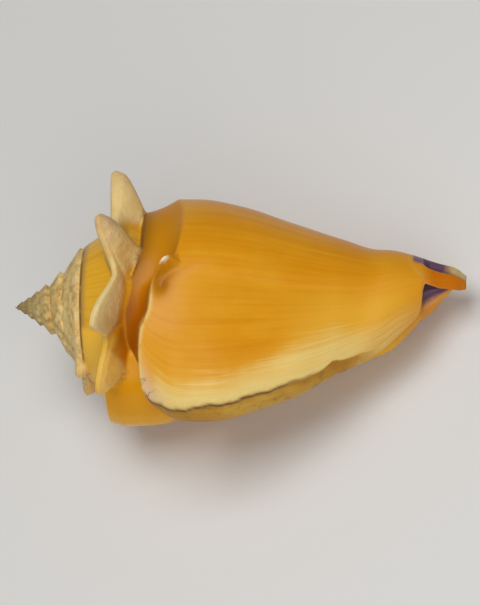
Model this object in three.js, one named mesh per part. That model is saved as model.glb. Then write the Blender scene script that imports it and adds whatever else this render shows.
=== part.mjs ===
// A fighting conch shell lying on its side, in millimetres, +Z up.
// The shell is first drawn in its own frame: +X runs from the apex to the front canal along the
// coiling axis, +Z is the back of the shell, -Y is the side of the outer lip. Angles are in degrees
// around +X, measured from +Y towards +Z, and the shell grows with the angle. The last step lays
// the shell down on the side away from its lip.

import * as THREE from 'three';
import { mergeVertices } from 'three/addons/utils/BufferGeometryUtils.js';

// Main sizes
const SHELL_LENGTH = 85.2;
const LIP_WALL = 2.5;
const INNER_WALL = 1.9;
const CANAL_WALL = 0.8;
const WALL_REACH = 1.7;
const CANAL_WALL_REACH = 0.5;
const RIM_ROUNDNESS = 0.6;
const LIP_BAND_WIDTH = 8;
const LIP_BAND_DROP = 1.5;
const LIP_BAND_END_X = 68;
const LIP_BAND_FADE = 8;

// The coil: turns are counted from the apex, and turn 8 passes the middle of the lip side
const TURNS_AT_SIDE = 8;
const SIDE_ANGLE = 155;
const WHORLS_BACK = 8;
const LAP_SLOPE = 4;

// Along the coil, by turn: where each whorl starts, its radius there, its shoulder and its radius
const SUTURE_X = [[0, 0], [1, 0.9], [2, 2], [3, 3.4], [3.75, 4.5], [4.75, 6.8], [5.75, 9.4], [6.25, 10.2],
  [6.75, 13.4], [7.25, 14.5], [7.75, 24.6], [7.88, 25.4], [8, 21.5], [8.14, 18.5]];
const SUTURE_R = [[0, 0.1], [1, 0.6], [2, 1.2], [3, 2.1], [3.75, 2.9], [4.75, 4.3], [5.75, 6.6], [6.25, 8.4],
  [6.75, 11.6], [7.25, 14], [7.75, 17.9], [7.88, 17], [8, 15.2], [8.14, 15]];
const SHOULDER_X = [[0, 0.6], [1, 1.7], [2, 3], [3, 4.6], [3.75, 5.9], [4.75, 8.6], [5.75, 12.4], [6.25, 13.6],
  [6.75, 20.2], [6.889, 20.4], [6.953, 22.2], [7.018, 20.5], [7.25, 20.6], [7.5, 25], [7.75, 30.9],
  [7.85, 33.4], [7.935, 32.3], [7.964, 28.4], [8, 27.9], [8.03, 26.4], [8.06, 26.2], [8.14, 27.3]];
const SHOULDER_R = [[0, 0.5], [1, 1.1], [2, 1.9], [3, 3], [3.75, 3.9], [4.75, 6.1], [5.75, 11], [6.25, 13.4],
  [6.75, 16.2], [7.25, 18], [7.75, 20.4], [8, 22.3], [8.14, 23.4]];

// Outline of the last whorl below its shoulder, as a share of the shoulder radius
const BODY_OUTLINE = [[0, 1], [4, 1], [12, 0.936], [20.5, 0.804], [31, 0.632], [37, 0.51], [40.5, 0.461],
  [43.5, 0.392], [46, 0.325], [47.4, 0.285], [50.4, 0.212], [53, 0.155], [54.6, 0.1]];
const OUTLINE_START_X = 30.6;
const LAST_WHORL_TURN = 7.14;
const OLD_WHORL_SLOPE = [[6.8, 0.35], [7, 1]];

// The pillar's end thins out on the belly side of the canal
const PILLAR_TIP_START_X = 78.3;
const PILLAR_TIP_LENGTH = 5;
const PILLAR_TIP_THINNING = 0.72;
const PILLAR_TIP_TURN = 7.6;
const PILLAR_TIP_FADE = 0.3;

// The gutter between the spire and the lip: how late the ramp rises to the shoulder
const RAMP_POWER = [[5, 1], [7.5, 1.2], [7.75, 1.6], [7.9, 3.5], [8, 6], [8.14, 7]];

// The lip: its edge as an angle along the axis, and how far it flares
const LIP_EDGE = [[26.5, 193], [28, 198], [29.6, 201], [31.4, 203.7], [33.5, 205], [50, 206], [61, 204.5],
  [68, 203], [73, 196], [75.8, 191], [76.5, 188], [77, 178], [77.3, 152], [77.7, 138], [78.4, 141], [80.6, 154],
  [83, 167], [85.2, 178]];
const LIP_FLARE = [[25, 0.13], [33, 0.22], [42, 0.3], [54, 0.32], [60, 0.24], [66, 0.13], [74, 0.08], [78, 0]];
const FLARE_START_ANGLE = 138;
const FLARE_RISE = 3;
const LIP_WALL_ANGLE = 50;

// The aperture: where its inner side turns in, how deep it is drawn, and the pillar inside
const APERTURE_START_X = 26.6;
const APERTURE_OPENING = 5;
const PILLAR_R = [[24, 15], [30, 13], [40, 9.6], [50, 6], [60, 4], [70, 3], [76, 2], [80, 0.9], [85.2, 0.5]];
const APERTURE_DEPTH = [[26.6, 0], [27.4, 20], [29, 60], [34, 120], [55, 130], [68, 105],
  [74, 104], [78, 125], [85.2, 150]];
const INNER_LIP_START = 168;
const INNER_LIP_END = 252;

// The callus over the belly: share of its full radius by angle and along the axis
const CALLUS_R = 22.4;
const CALLUS_FROM = 170;
const CALLUS_TO = 335;
const CALLUS_SMOOTHING = 1.5;
const CALLUS_BY_ANGLE = [[170, 0.4], [185, 0.68], [193, 0.76], [215, 0.9], [238, 1], [265, 1], [300, 0.88],
  [335, 0.6]];
const CALLUS_BY_X = [[14, 0], [15.8, 0.45], [17.6, 0.8], [18.8, 0.97], [22, 1], [28, 0.985], [32, 0.93],
  [45, 0.71], [60.5, 0.56], [67, 0.46], [71, 0.42], [75, 0.3], [77.5, 0.2], [82, 0.07], [83, 0.035],
  [85.2, 0.015]];

// The front canal has thinner walls, bends towards the back and its end is cut back in the middle
const CANAL_START_X = 70;
const CANAL_LENGTH = 8;
const CANAL_BEND = [[58, 0], [66, 0.6], [71, 1.7], [74, 2.6], [77.5, 3.6], [80.3, 4.4], [83, 5.1], [85.2, 5.2]];
const CANAL_CUT_DEPTH = 8.2;
const CANAL_CUT_ANGLE = 87;
const CANAL_CUT_WIDTH = 38;
const CANAL_CUT_START_X = 72;

// Spines of the last two whorls: turn, height, half widths in degrees before and after the tip,
// length of the foot towards the canal and lean towards the apex
const SPINES = [
  { turn: 6.16, height: 2.8, before: 8, after: 8, foot: 4, lean: 0.12 },
  { turn: 6.28, height: 3.8, before: 9, after: 9, foot: 4, lean: 0.12 },
  { turn: 6.4, height: 3.6, before: 9, after: 9, foot: 4, lean: 0.12 },
  { turn: 6.52, height: 4.6, before: 9, after: 9, foot: 4, lean: 0.12 },
  { turn: 6.64, height: 6.5, before: 10, after: 10, foot: 4.6, lean: 0.12 },
  { turn: 6.764, height: 9.6, before: 11, after: 11, foot: 6, lean: 0.1 },
  { turn: 6.889, height: 9.1, before: 11, after: 11, foot: 6, lean: 0.23 },
  { turn: 7.018, height: 9.2, before: 20, after: 5.5, foot: 1.6, lean: 0.24 },
  { turn: 7.112, height: 7, before: 17, after: 6.5, foot: 3.8, lean: 0.3 },
  { turn: 7.375, height: 4.6, before: 11, after: 11, foot: 4, lean: 0.12 },
  { turn: 7.5, height: 4.8, before: 11, after: 11, foot: 4, lean: 0.12 },
  { turn: 7.625, height: 3.6, before: 11, after: 11, foot: 4, lean: 0.12 },
  { turn: 7.941, height: 4.2, before: 4.5, after: 6, foot: 1.2, lean: 0.3 },
];
const SPINE_REACH = 60;

// Every spine rises over a short front before the shoulder and stands on a low skirt around the shell;
// low spines are cut shorter by the height of a tall one, and the foot is shortest between spines
const SPINE_TALL = 6;
const SPINE_FRONT = 2;
const SPINE_FRONT_RISE = 1.3;
const SKIRT_SHARE = 0.25;
const SKIRT_STRETCH = 2;
const SKIRT_MOST = 22;
const FOOT_BETWEEN = 0.3;
const FOOT_FLAT = 0.25;

// Ribs of the older spire: height at a whorl of full radius, and the turns where they fade out
const RIBS_PER_TURN = 13;
const RIB_HEIGHT = 0.42;
const RIB_FULL_RADIUS = 8;
const RIB_LENGTH = 1.1;
const RIB_LENGTH_LEAST = 0.3;
const RIBS_FADE_TURN = 5.3;
const RIBS_FADE_LENGTH = 0.6;

// How the shell lies: turned about its own axis, then tipped, then set down on the ground
const REST_ROLL = -37.9;
const REST_TIP = 16.1;

// Rings near the shoulder follow it around the shell: the most they move back, and where that fades out
const RING_SHIFT_MOST = -4.4;
const RING_SHIFT_FADE_ANGLE = 165;
const RING_SHIFT_FADE_WIDTH = 20;
const RING_SHIFT_SHARE = [[17, 0], [25, 0.75], [30.6, 1], [36, 0.8], [50, 0]];

// How finely the surface is drawn: rings are closer together on the spire and at the front canal
const FIRST_RING = 0.35;
const RING_SPACING = [[0, 0.55], [6, 0.8], [14, 0.9], [26, 0.85], [31, 1.2], [38, 2.6], [64, 2.8], [72, 1.2],
  [77, 0.8], [85, 1.3]];
const OUTSIDE_COUNT = 56;
const RIM_COUNT = 2;
const INSIDE_COUNT = 10;

// Points between these angles stay in place where the lip's edge draws back to the canal
const USUAL_EDGE = 205;
const FIXED_FROM = -85;
const FIXED_TO = 130;

const smooth = (t) => {
  const s = Math.min(1, Math.max(0, t));
  return s * s * (3 - 2 * s);
};
const mix = (a, b, t) => a + (b - a) * t;
const bell = (t) => Math.exp(-t * t);

// A smooth line through points that never overshoots them
function curveThrough(points, x) {
  const last = points.length - 1;
  if (x <= points[0][0]) return points[0][1];
  if (x >= points[last][0]) return points[last][1];
  let i = 0;
  while (x > points[i + 1][0]) i += 1;
  const slope = (j) => (points[j + 1][1] - points[j][1]) / (points[j + 1][0] - points[j][0]);
  const tangent = (j) => {
    if (j === 0 || j === last) return 0;
    const before = slope(j - 1);
    const after = slope(j);
    return before * after <= 0 ? 0 : (2 * before * after) / (before + after);
  };
  const width = points[i + 1][0] - points[i][0];
  const t = (x - points[i][0]) / width;
  const fromStart = 2 * t ** 3 - 3 * t ** 2 + 1;
  const toEnd = 3 * t ** 2 - 2 * t ** 3;
  const leaving = (t ** 3 - 2 * t ** 2 + t) * width * tangent(i);
  const arriving = (t ** 3 - t ** 2) * width * tangent(i + 1);
  return points[i][1] * fromStart + points[i + 1][1] * toEnd + leaving + arriving;
}

const turnAt = (angle) => TURNS_AT_SIDE + (angle - SIDE_ANGLE) / 360;
const lipEdgeAt = (x) => curveThrough(LIP_EDGE, x);

// Height of the spines and ribs of one whorl above its plain surface, and how far they lean
function knobAt(turn, x) {
  const fromShoulder = x - curveThrough(SHOULDER_X, turn);
  let height = 0;
  let lean = 0;
  for (const spine of SPINES) {
    const degrees = (turn - spine.turn) * 360;
    if (Math.abs(degrees) > SPINE_REACH) continue;
    const width = degrees < 0 ? spine.before : spine.after;
    const reach = Math.min(1, spine.height / SPINE_TALL);
    const peak = bell(degrees / width);
    const skirt = reach * bell(degrees / Math.min(SKIRT_MOST, SKIRT_STRETCH * width));
    const across = mix(peak, skirt, SKIRT_SHARE);
    const foot = spine.foot * mix(FOOT_BETWEEN, 1, peak);
    const front = smooth((fromShoulder + SPINE_FRONT * reach) / (SPINE_FRONT_RISE * reach));
    const along = front * (1 - smooth((fromShoulder - FOOT_FLAT * foot) / foot));
    height += spine.height * across * along;
    lean += spine.height * across * along * spine.lean;
  }
  const size = curveThrough(SHOULDER_R, turn) / RIB_FULL_RADIUS;
  const ribAlong = bell(fromShoulder / (RIB_LENGTH * size + RIB_LENGTH_LEAST));
  const ribsLeft = 1 - smooth((turn - RIBS_FADE_TURN) / RIBS_FADE_LENGTH);
  height += RIB_HEIGHT * size * ribAlong * ribsLeft * (1 + Math.cos(turn * RIBS_PER_TURN * 2 * Math.PI));
  return { height, lean };
}

// Radius of one whorl on its own, without spines
function whorlRadius(turn, x) {
  const startX = curveThrough(SUTURE_X, turn);
  const startR = curveThrough(SUTURE_R, turn);
  if (x < startX) return startR - LAP_SLOPE * (startX - x);
  const shoulderX = curveThrough(SHOULDER_X, turn);
  const shoulderR = curveThrough(SHOULDER_R, turn);
  if (x < shoulderX) {
    const t = (x - startX) / (shoulderX - startX);
    return mix(startR, shoulderR, t ** curveThrough(RAMP_POWER, turn));
  }
  if (turn < LAST_WHORL_TURN) return shoulderR - curveThrough(OLD_WHORL_SLOPE, turn) * (x - shoulderX);
  const stretch = (SHELL_LENGTH - OUTLINE_START_X) / (SHELL_LENGTH - shoulderX);
  const alongTip = smooth((x - PILLAR_TIP_START_X) / PILLAR_TIP_LENGTH);
  const aroundTip = smooth((PILLAR_TIP_TURN - turn) / PILLAR_TIP_FADE);
  const thinned = 1 - PILLAR_TIP_THINNING * alongTip * aroundTip;
  return shoulderR * curveThrough(BODY_OUTLINE, (x - shoulderX) * stretch) * thinned;
}

// Radius of the callus that covers the belly, by the angle past the lip
function callusRadius(x, angle) {
  if (angle < CALLUS_FROM || angle > CALLUS_TO) return 0;
  return CALLUS_R * curveThrough(CALLUS_BY_ANGLE, angle) * curveThrough(CALLUS_BY_X, x);
}

// The outer surface: radius and how far the point leans towards the apex
function outside(x, angle) {
  let radius = 0;
  let lean = 0;
  for (let back = 0; back <= WHORLS_BACK; back += 1) {
    const turn = turnAt(angle) - back;
    if (turn < 0) break;
    const plain = whorlRadius(turn, x);
    if (plain <= 0) continue;
    const knob = knobAt(turn, x);
    if (plain + knob.height > radius) {
      radius = plain + knob.height;
      lean = knob.lean;
    }
  }
  const flareShare = smooth((angle - FLARE_START_ANGLE) / (lipEdgeAt(x) - FLARE_START_ANGLE));
  if (angle > FLARE_START_ANGLE && x > curveThrough(SUTURE_X, turnAt(angle))) {
    const wallShare = smooth((x - curveThrough(SHOULDER_X, turnAt(angle)) + FLARE_RISE) / FLARE_RISE);
    radius *= 1 + curveThrough(LIP_FLARE, x) * flareShare * wallShare;
    const onBand = Math.max(0, 1 - (lipEdgeAt(x) - angle) / LIP_BAND_WIDTH);
    const bandLeft = 1 - smooth((x - LIP_BAND_END_X) / LIP_BAND_FADE);
    radius -= LIP_BAND_DROP * onBand ** 2 * wallShare * bandLeft;
  }
  const callus = Math.max(callusRadius(x, angle), callusRadius(x, angle + 360));
  if (callus > radius) {
    lean *= 1 - smooth((callus - radius) / CALLUS_SMOOTHING);
    radius = callus;
  }
  return { radius, lean };
}

// How far the belly surface has turned in to the pillar, 1 on the belly and 0 deep inside
const bellyShare = (angle) => smooth((angle - INNER_LIP_START) / (INNER_LIP_END - INNER_LIP_START));

// Radius of the inner side of the aperture; the angle runs on past the lip edge onto the belly
function innerSide(x, angle) {
  const belly = outside(x, angle - 360).radius;
  const pillar = curveThrough(PILLAR_R, x);
  const opened = smooth((x - APERTURE_START_X + 1) / APERTURE_OPENING);
  return mix(belly, mix(pillar, Math.max(belly, pillar), bellyShare(angle)), opened);
}

// Radius of the inner face of the outer wall, kept one wall away from the outside in every direction
function outerWallInside(x, angle) {
  const atEdge = smooth((angle - lipEdgeAt(x) + LIP_WALL_ANGLE) / LIP_WALL_ANGLE);
  const onCanal = smooth((x - CANAL_START_X) / CANAL_LENGTH);
  const thick = mix(mix(INNER_WALL, LIP_WALL, atEdge), CANAL_WALL, onCanal);
  const wallReach = mix(WALL_REACH, CANAL_WALL_REACH, onCanal);
  let radius = Infinity;
  for (const step of [-1, -0.5, 0, 0.5, 1]) {
    const reach = Math.sqrt(1 - step * step * 0.8);
    const at = Math.min(SHELL_LENGTH, x + step * wallReach);
    radius = Math.min(radius, outside(at, angle).radius - thick * reach);
  }
  return radius;
}

// How far the rings at the shoulder move along the axis at an angle
function ringShift(angle) {
  const followed = Math.max(RING_SHIFT_MOST, curveThrough(SHOULDER_X, turnAt(angle)) - OUTLINE_START_X);
  return mix(followed, RING_SHIFT_MOST, smooth((angle - RING_SHIFT_FADE_ANGLE) / RING_SHIFT_FADE_WIDTH));
}

// How far the open end of the canal is cut back at an angle, from the place of the ring
function canalCut(angle, place) {
  const turned = ((((angle - CANAL_CUT_ANGLE + 180) % 360) + 360) % 360) - 180;
  const share = smooth((place - CANAL_CUT_START_X) / (SHELL_LENGTH - CANAL_CUT_START_X));
  return CANAL_CUT_DEPTH * share * bell((turned / CANAL_CUT_WIDTH) ** 2);
}

// Angle of a point that stands at an offset from the usual edge, on a ring with its own edge
function columnAngle(edge, offset) {
  const angle = USUAL_EDGE + offset;
  if (angle < FIXED_FROM) return mix(edge - 360, FIXED_FROM, (offset + 360) / (FIXED_FROM - USUAL_EDGE + 360));
  if (angle > FIXED_TO) return mix(FIXED_TO, edge, 1 + offset / (USUAL_EDGE - FIXED_TO));
  return angle;
}

// One closed ring around the shell: outside, over the rim, in along the wall, back along the pillar
function ringAt(place) {
  const shiftShare = curveThrough(RING_SHIFT_SHARE, place);
  const shiftedX = (angle) => place + ringShift(angle) * shiftShare - canalCut(angle, place);
  const edge = lipEdgeAt(shiftedX(lipEdgeAt(place)));
  const ring = [];
  for (let i = 0; i < OUTSIDE_COUNT; i += 1) {
    const angle = columnAngle(edge, -360 + (360 * i) / (OUTSIDE_COUNT - 1));
    const x = shiftedX(angle);
    const point = outside(x, angle);
    const radius = angle + 360 < INNER_LIP_END ? innerSide(x, angle + 360) : point.radius;
    ring.push({ x: x - point.lean, angle, radius });
  }
  const start = ring[0].radius;
  const outer = ring[OUTSIDE_COUNT - 1].radius;
  const edgeX = ring[OUTSIDE_COUNT - 1].x;
  const inner = Math.min(outer, Math.max(start, outerWallInside(edgeX, edge)));
  const half = (outer - inner) / 2;
  for (let i = 1; i <= RIM_COUNT; i += 1) {
    const round = (Math.PI * i) / (RIM_COUNT + 1);
    const bulge = (RIM_ROUNDNESS * half * Math.sin(round) * 180) / Math.PI / Math.max(outer, 1);
    ring.push({ x: edgeX, angle: edge + bulge, radius: (outer + inner) / 2 + half * Math.cos(round) });
  }
  const depth = curveThrough(APERTURE_DEPTH, edgeX);
  const pathCount = 2 * INSIDE_COUNT + 1;
  for (let i = 0; i < pathCount; i += 1) {
    const inward = Math.min(i, pathCount - i) / INSIDE_COUNT;
    const onWall = i <= INSIDE_COUNT;
    if (depth === 0 || i === 0) {
      const along = i / pathCount;
      ring.push({ x: mix(edgeX, ring[0].x, along), angle: edge, radius: mix(inner, start, along) });
      continue;
    }
    const angle = edge - depth * Math.min(1, inward);
    const x = shiftedX(angle);
    const floor = innerSide(x, angle);
    const room = Math.max(0.1, outerWallInside(x, angle) - floor);
    const roundedEnd = 0.5 * Math.sqrt(Math.max(0, 1 - inward ** 4)) + 0.02;
    ring.push({ x, angle, radius: floor + room * (onWall ? 0.5 + roundedEnd : 0.5 - roundedEnd) });
  }
  return ring;
}

// From ring values to a point in the shell's own frame
function pointOf({ x, angle, radius }) {
  const radians = (angle * Math.PI) / 180;
  const rise = curveThrough(CANAL_BEND, x);
  return new THREE.Vector3(x, radius * Math.cos(radians), radius * Math.sin(radians) + rise);
}

// Places of the rings along the axis, from the apex to the end of the canal
function ringPositions() {
  const steps = [FIRST_RING];
  while (steps[steps.length - 1] < SHELL_LENGTH) {
    const x = steps[steps.length - 1];
    steps.push(x + curveThrough(RING_SPACING, x));
  }
  const scale = (SHELL_LENGTH - FIRST_RING) / (steps[steps.length - 1] - FIRST_RING);
  return steps.map((x) => FIRST_RING + (x - FIRST_RING) * scale);
}

function shellSurface() {
  const rings = ringPositions().map((x) => ringAt(x).map(pointOf));
  const around = rings[0].length;
  const positions = [];
  const put = (a, b, c) => positions.push(...a.toArray(), ...c.toArray(), ...b.toArray());
  const apex = new THREE.Vector3(0, 0, 0);
  for (let i = 0; i < around; i += 1) put(apex, rings[0][i], rings[0][(i + 1) % around]);
  for (let j = 0; j + 1 < rings.length; j += 1) {
    for (let i = 0; i < around; i += 1) {
      const next = (i + 1) % around;
      put(rings[j][i], rings[j + 1][i], rings[j + 1][next]);
      put(rings[j][i], rings[j + 1][next], rings[j][next]);
    }
  }
  // The open end of the canal is closed between its outside and its inside
  const end = rings[rings.length - 1];
  let a = 0;
  let b = around - 1;
  while (b - a > 1) {
    if (end[a + 1].distanceTo(end[b]) < end[a].distanceTo(end[b - 1])) {
      put(end[a + 1], end[a], end[b]);
      a += 1;
    } else {
      put(end[b], end[b - 1], end[a]);
      b -= 1;
    }
  }
  const geometry = new THREE.BufferGeometry();
  geometry.setAttribute('position', new THREE.Float32BufferAttribute(positions, 3));
  return geometry;
}

// Merge points that meet and drop the triangles that closed up
function tidied(geometry) {
  const merged = mergeVertices(geometry, 1e-3);
  const index = merged.getIndex().array;
  const kept = [];
  for (let i = 0; i < index.length; i += 3) {
    const [a, b, c] = [index[i], index[i + 1], index[i + 2]];
    if (a !== b && b !== c && a !== c) kept.push(a, b, c);
  }
  merged.setIndex(kept);
  return merged;
}

// Lay the shell down and set its lowest point on the ground, centred over the origin
function laidDown(geometry) {
  geometry.rotateX(THREE.MathUtils.degToRad(REST_ROLL));
  geometry.rotateY(THREE.MathUtils.degToRad(REST_TIP));
  geometry.computeBoundingBox();
  const box = geometry.boundingBox;
  geometry.translate(-(box.min.x + box.max.x) / 2, -(box.min.y + box.max.y) / 2, -box.min.z);
  return geometry;
}

const shellGeometry = laidDown(tidied(shellSurface()));
shellGeometry.computeVertexNormals();
const shell = new THREE.Mesh(
  shellGeometry,
  new THREE.MeshStandardMaterial({ color: 0xe3963a, roughness: 0.35, metalness: 0 }),
);
shell.name = 'conch_shell';

const model = new THREE.Group();
model.name = 'fighting_conch_shell';
model.add(shell);
export default model;
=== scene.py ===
# A West Indian fighting conch shell lying on its side, in metres, +Z up.
# The surface is one closed skin drawn from the same coil as the frame's solid, only much finer.
# Lengths of the coil are in millimetres and angles in degrees; the last step turns them into metres.
# A pair without a note is the start and length of a change, or the middle and width of a patch;
# two such pairs are the change where a stretch begins and the one where it ends.

import math

import bmesh
import bpy
import numpy as np
from mathutils import Matrix, Vector


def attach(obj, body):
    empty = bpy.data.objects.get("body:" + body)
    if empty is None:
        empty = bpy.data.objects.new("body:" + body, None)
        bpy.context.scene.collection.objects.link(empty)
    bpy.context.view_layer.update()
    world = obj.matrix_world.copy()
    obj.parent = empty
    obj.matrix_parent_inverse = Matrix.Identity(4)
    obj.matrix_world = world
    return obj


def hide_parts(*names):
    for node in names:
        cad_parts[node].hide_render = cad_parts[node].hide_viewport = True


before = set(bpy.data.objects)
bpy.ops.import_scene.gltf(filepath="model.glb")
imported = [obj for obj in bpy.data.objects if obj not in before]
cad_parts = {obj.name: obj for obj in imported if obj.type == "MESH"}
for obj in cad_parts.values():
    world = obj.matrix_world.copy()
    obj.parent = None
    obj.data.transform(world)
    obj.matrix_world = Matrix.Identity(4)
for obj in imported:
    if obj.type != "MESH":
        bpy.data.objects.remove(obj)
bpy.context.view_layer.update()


# Main sizes
SHELL_LENGTH = 85.2
LIP_WALL = 2.5
INNER_WALL = 1.9
CANAL_WALL = 0.8
RIM_ROUNDNESS = 0.6
MM = 0.001

# The inner face of the wall keeps one wall away from the outside over this reach to both sides
WALL_REACH = 1.7
CANAL_WALL_REACH = 0.5
WALL_STEPS = (-1, -0.5, 0, 0.5, 1)
WALL_ROUNDNESS = 0.8

# The coil: turns are counted from the apex, and turn 8 passes the middle of the lip side
TURNS_AT_SIDE = 8
SIDE_ANGLE = 155
WHORLS_BACK = 8
LAP_SLOPE = 4

# Along the coil, by turn: where each whorl starts, its radius there, its shoulder and its radius
SUTURE_X = [(0, 0), (1, 0.9), (2, 2), (3, 3.4), (3.75, 4.5), (4.75, 6.8), (5.75, 9.4), (6.25, 10.2),
            (6.75, 13.4), (7.25, 14.5), (7.75, 24.6), (7.88, 25.4), (8, 21.5), (8.14, 18.5)]
SUTURE_R = [(0, 0.1), (1, 0.6), (2, 1.2), (3, 2.1), (3.75, 2.9), (4.75, 4.3), (5.75, 6.6), (6.25, 8.4),
            (6.75, 11.6), (7.25, 14), (7.75, 17.9), (7.88, 17), (8, 15.2), (8.14, 15)]
SHOULDER_X = [(0, 0.6), (1, 1.7), (2, 3), (3, 4.6), (3.75, 5.9), (4.75, 8.6), (5.75, 12.4), (6.25, 13.6),
              (6.75, 20.2), (6.889, 20.4), (6.953, 22.2), (7.018, 20.5), (7.25, 20.6), (7.5, 25),
              (7.75, 30.9), (7.85, 33.4), (7.935, 32.3), (7.964, 28.4), (8, 27.9), (8.03, 26.4),
              (8.06, 26.2), (8.14, 27.3)]
SHOULDER_R = [(0, 0.5), (1, 1.1), (2, 1.9), (3, 3), (3.75, 3.9), (4.75, 6.1), (5.75, 11), (6.25, 13.4),
              (6.75, 16.2), (7.25, 18), (7.75, 20.4), (8, 22.3), (8.14, 23.4)]

# Outline of the last whorl below its shoulder, as a share of the shoulder radius
BODY_OUTLINE = [(0, 1), (4, 1), (12, 0.936), (20.5, 0.804), (31, 0.632), (37, 0.51), (40.5, 0.461),
                (43.5, 0.392), (46, 0.325), (47.4, 0.285), (50.4, 0.212), (53, 0.155), (54.6, 0.1)]
OUTLINE_START_X = 30.6
LAST_WHORL_TURN = 7.14
OLD_WHORL_SLOPE = [(6.8, 0.35), (7, 1)]

# The pillar's end thins out on the belly side of the canal
PILLAR_TIP_START_X = 78.3
PILLAR_TIP_LENGTH = 5
PILLAR_TIP_THINNING = 0.72
PILLAR_TIP_TURN = 7.6
PILLAR_TIP_FADE = 0.3

# The gutter between the spire and the lip: how late the ramp rises to the shoulder
RAMP_POWER = [(5, 1), (7.5, 1.2), (7.75, 1.6), (7.9, 3.5), (8, 6), (8.14, 7)]

# How softly one whorl lies on the one before it, as a share of the shoulder radius
JOIN_SOFTNESS = 0.025
JOIN_SOFTNESS_LEAST = 0.04
JOIN_SOFTNESS_MOST = 0.5

# The lip: its edge as an angle along the axis, and how far it flares
LIP_EDGE = [(26.5, 193), (28, 198), (29.6, 201), (31.4, 203.7), (33.5, 205), (50, 206), (61, 204.5),
            (68, 203), (73, 196), (75.8, 191), (76.5, 188), (77, 178), (77.3, 152), (77.7, 138),
            (78.4, 141), (80.6, 154), (83, 167), (85.2, 178)]
LIP_FLARE = [(25, 0.13), (33, 0.22), (42, 0.3), (54, 0.32), (60, 0.24), (66, 0.13), (74, 0.08), (78, 0)]
FLARE_START_ANGLE = 138
FLARE_RISE = 3
LIP_WALL_ANGLE = 50

# The worn band along the lip: its width in degrees, the waves of its edge as height, rate and start,
# how far it lies below the shell and how sharp its step is
BAND_WIDTH = [(27, 4), (31, 6.5), (37, 10), (48, 11.5), (58, 13), (64, 11), (70, 6)]
BAND_WANDER = [(0.4, 0.85, 0), (0.25, 2.1, 1)]
BAND_DROP = 1.5
BAND_STEP = 0.14
BAND_STEP_SHARPNESS = 12
BAND_DROP_END = (58, 8)

# The chip in the lip's edge: its place along the axis, its depth in degrees and its width
CHIP_X = 61.3
CHIP_DEPTH = 3
CHIP_WIDTH = 1.1

# The aperture: where its inner side turns in, how deep it is drawn, and the pillar inside
APERTURE_START = (25.6, 5)
PILLAR_R = [(24, 15), (30, 13), (40, 9.6), (50, 6), (60, 4), (70, 3), (76, 2), (80, 0.9), (85.2, 0.5)]
APERTURE_DEPTH = [(26.6, 0), (27.4, 20), (29, 60), (34, 120), (55, 130), (68, 105),
                  (74, 104), (78, 125), (85.2, 150)]
INNER_LIP_START = 168
INNER_LIP_END = 252

# The room between pillar and wall, and how its deep end is rounded
ROOM_LEAST = 0.1
ROOM_MARGIN = 0.02
ROOM_END_POWER = 4

# The inside's colour: where along the axis the belly turns in to it, and from which depth of the
# aperture and which share of the way in it is full
INSIDE_START = (28, 4)
INSIDE_FULL_DEPTH = 40
INSIDE_FULL_SHARE = 1 / 3

# The callus over the belly: share of its full radius by angle and along the axis
CALLUS_R = 22.4
CALLUS_FROM = 170
CALLUS_TO = 335
CALLUS_SMOOTHING = 1.5
CALLUS_EDGE = (-0.4, 0.8)
CALLUS_BY_ANGLE = [(170, 0.4), (185, 0.68), (193, 0.76), (215, 0.9), (238, 1), (265, 1), (300, 0.88),
                   (335, 0.6)]
CALLUS_BY_X = [(14, 0), (15.8, 0.45), (17.6, 0.8), (18.8, 0.97), (22, 1), (28, 0.985), (32, 0.93),
               (45, 0.71), (60.5, 0.56), (67, 0.46), (71, 0.42), (75, 0.3), (77.5, 0.2), (82, 0.07),
               (83, 0.035), (85.2, 0.015)]

# The front canal has thinner walls, bends towards the back and its end is cut back in the middle
CANAL_START_X = 70
CANAL_LENGTH = 8
CANAL_BEND = [(58, 0), (66, 0.6), (71, 1.7), (74, 2.6), (77.5, 3.6), (80.3, 4.4), (83, 5.1), (85.2, 5.2)]
CANAL_CUT_DEPTH = 8.2
CANAL_CUT_ANGLE = 87
CANAL_CUT_WIDTH = 38
CANAL_CUT_START_X = 72

# Spines of the last two whorls: turn, height, half widths in degrees before and after the tip,
# length of the foot towards the canal and lean towards the apex
SPINES = [
    (6.16, 2.8, 8, 8, 4, 0.12),
    (6.28, 3.8, 9, 9, 4, 0.12),
    (6.4, 3.6, 9, 9, 4, 0.12),
    (6.52, 4.6, 9, 9, 4, 0.12),
    (6.64, 6.5, 10, 10, 4.6, 0.12),
    (6.764, 9.6, 11, 11, 6, 0.1),
    (6.889, 9.1, 11, 11, 6, 0.23),
    (7.018, 9.2, 20, 5.5, 1.6, 0.24),
    (7.112, 7, 17, 6.5, 3.8, 0.3),
    (7.375, 4.6, 11, 11, 4, 0.12),
    (7.5, 4.8, 11, 11, 4, 0.12),
    (7.625, 3.6, 11, 11, 4, 0.12),
    (7.941, 4.2, 4.5, 6, 1.2, 0.3),
]
SPINE_REACH = 60

# Every spine rises over a short front before the shoulder and stands on a low skirt around the shell;
# low spines are cut shorter by the height of a tall one, and the foot is shortest between spines
SPINE_TALL = 6
SPINE_FRONT = 2
SPINE_FRONT_RISE = 1.3
SKIRT_SHARE = 0.25
SKIRT_STRETCH = 2
SKIRT_MOST = 22
FOOT_BETWEEN = 0.3
FOOT_FLAT = 0.25

# The knob at the lip's corner is sharper than the spines, and the shell is dented below it
LIP_KNOB_TURN = 7.9
LIP_KNOB_SHARPNESS = 0.75
DENT_DEPTH = 0.7
DENT_TURNS = (7.968, 0.013)
DENT_ACROSS = (1.5, 1.2)

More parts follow.
